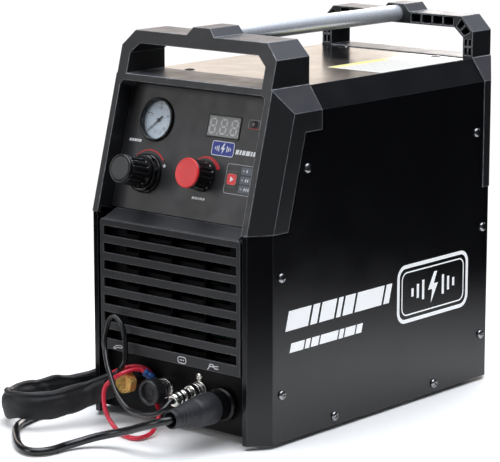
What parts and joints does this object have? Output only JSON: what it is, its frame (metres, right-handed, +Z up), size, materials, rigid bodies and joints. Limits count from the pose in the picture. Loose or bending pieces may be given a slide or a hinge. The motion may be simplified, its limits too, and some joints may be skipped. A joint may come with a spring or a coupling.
{
  "type": "plasma cutter",
  "caption": "Carryable inverter air-plasma cutter with sloping control panel, tube handle between moulded end frames, plugged-in torch and work leads.",
  "frame": {"origin": "centre of the floor pan's underside, 7 mm above the plane the feet stand on", "axes": "+Z up, -Y out of the control panel side, +X to the right of someone facing that panel"},
  "size_m": [0.2966, 0.5274, 0.3478],
  "materials": {
    "black_paint": "satin powder coat",
    "black_steel": "black oxide",
    "steel": "plain",
    "dark_plastic": "fine texture",
    "panel_grey": "smooth film",
    "black_plastic": "gloss",
    "rubber": "matt",
    "fabric": "soft coated cloth",
    "red_plastic": "satin",
    "red_wire": "satin",
    "lamp_red": "clear",
    "dial_white": "smooth",
    "glass": "clear",
    "aluminium": "satin anodised",
    "nickel": "bright plate",
    "brass": "machined",
    "copper": "enamelled copper wire",
    "board_green": "solder mask"
  },
  "bodies": {
    "case": {"outer_cover": "black_paint", "base_plate": "steel", "front_bezel": "dark_plastic", "rear_bezel": "dark_plastic", "handle_tube": "aluminium", "front_grille": "dark_plastic", "control_panel": "panel_grey", "connector_panel": "black_paint", "rear_panel": "black_paint", "foot_front_left": "rubber", "foot_front_right": "rubber", "foot_rear_left": "rubber", "foot_rear_right": "rubber", "gauge_case": "black_plastic", "gauge_dial": "dial_white", "gauge_lens": "glass", "regulator_body": "aluminium", "regulator_ring": "black_plastic", "current_pot": "nickel", "display_module": "dial_white", "power_indicator": "lamp_red", "control_board": "board_green", "torch_fitting": "brass", "torch_hose": "rubber", "torch_sleeve": "fabric", "pilot_post": "nickel", "ring_terminal": "nickel", "pilot_wire": "red_wire", "trigger_socket": "nickel", "trigger_plug": "nickel", "trigger_lead": "rubber", "work_socket": "black_plastic", "work_plug": "rubber", "work_cable": "rubber", "fan_frame": "black_plastic", "heatsink": "aluminium", "power_board": "board_green", "transformer": "copper", "air_inlet": "brass", "solenoid_valve": "black_plastic", "air_hose": "rubber", "switch_body": "black_plastic", "power_cord": "rubber", "cover_screw_front_upper": "black_steel", "cover_screw_front_middle": "black_steel", "cover_screw_front_lower": "black_steel", "cover_screw_rear_upper": "black_steel", "cover_screw_rear_middle": "black_steel", "cover_screw_rear_lower": "black_steel"},
    "gauge_needle": {"gauge_needle": "black_plastic"},
    "regulator_spindle": {"regulator_spindle": "brass"},
    "regulator_knob": {"regulator_knob": "black_plastic"},
    "current_knob": {"current_shaft": "aluminium", "current_knob": "black_plastic", "current_knob_cap": "red_plastic"},
    "mode_button": {"mode_button": "red_plastic"},
    "fan_rotor": {"fan_rotor": "black_plastic"},
    "switch_rocker": {"switch_rocker": "red_plastic"},
    "pilot_nut": {"pilot_nut": "black_plastic"},
    "trigger_collar": {"trigger_collar": "nickel"}
  },
  "joints": [
    {"name": "gauge_needle_turn", "type": "hinge", "parent": "case", "child": "gauge_needle", "pos_m": [-0.0488, -0.13259, 0.2575], "axis": [0, -0.9642, 0.2652], "range_deg": [-266, 0]},
    {"name": "regulator_turn", "type": "hinge", "parent": "case", "child": "regulator_spindle", "pos_m": [-0.05, -0.14526, 0.2114], "axis": [0, -0.9642, 0.2652], "range_deg": [-1080, 1080]},
    {"name": "regulator_pull", "type": "slide", "parent": "regulator_spindle", "child": "regulator_knob", "axis": [0, -0.9642, 0.2652], "range_m": [0, 0.003]},
    {"name": "current_turn", "type": "hinge", "parent": "case", "child": "current_knob", "pos_m": [0.0148, -0.14392, 0.2163], "axis": [0, -0.9642, 0.2652], "range_deg": [-150, 150]},
    {"name": "mode_press", "type": "slide", "parent": "case", "child": "mode_button", "axis": [0, -0.9642, 0.2652], "range_m": [-0.001, 0]},
    {"name": "fan_spin", "type": "hinge", "parent": "case", "child": "fan_rotor", "pos_m": [0.028, 0.158, 0.092], "axis": [0, 1, 0], "continuous": true},
    {"name": "switch_rock", "type": "hinge", "parent": "case", "child": "switch_rocker", "pos_m": [0.045, 0.158, 0.229], "axis": [-1, 0, 0], "range_deg": [-18, 0]},
    {"name": "pilot_nut_turn", "type": "hinge", "parent": "case", "child": "pilot_nut", "pos_m": [-0.014, -0.1605, 0.0284], "axis": [0, -1, 0], "range_deg": [0, 1080]},
    {"name": "trigger_collar_turn", "type": "hinge", "parent": "case", "child": "trigger_collar", "pos_m": [0.0255, -0.168, 0.0332], "axis": [0, -0.9962, -0.0872], "range_deg": [0, 720]}
  ]
}
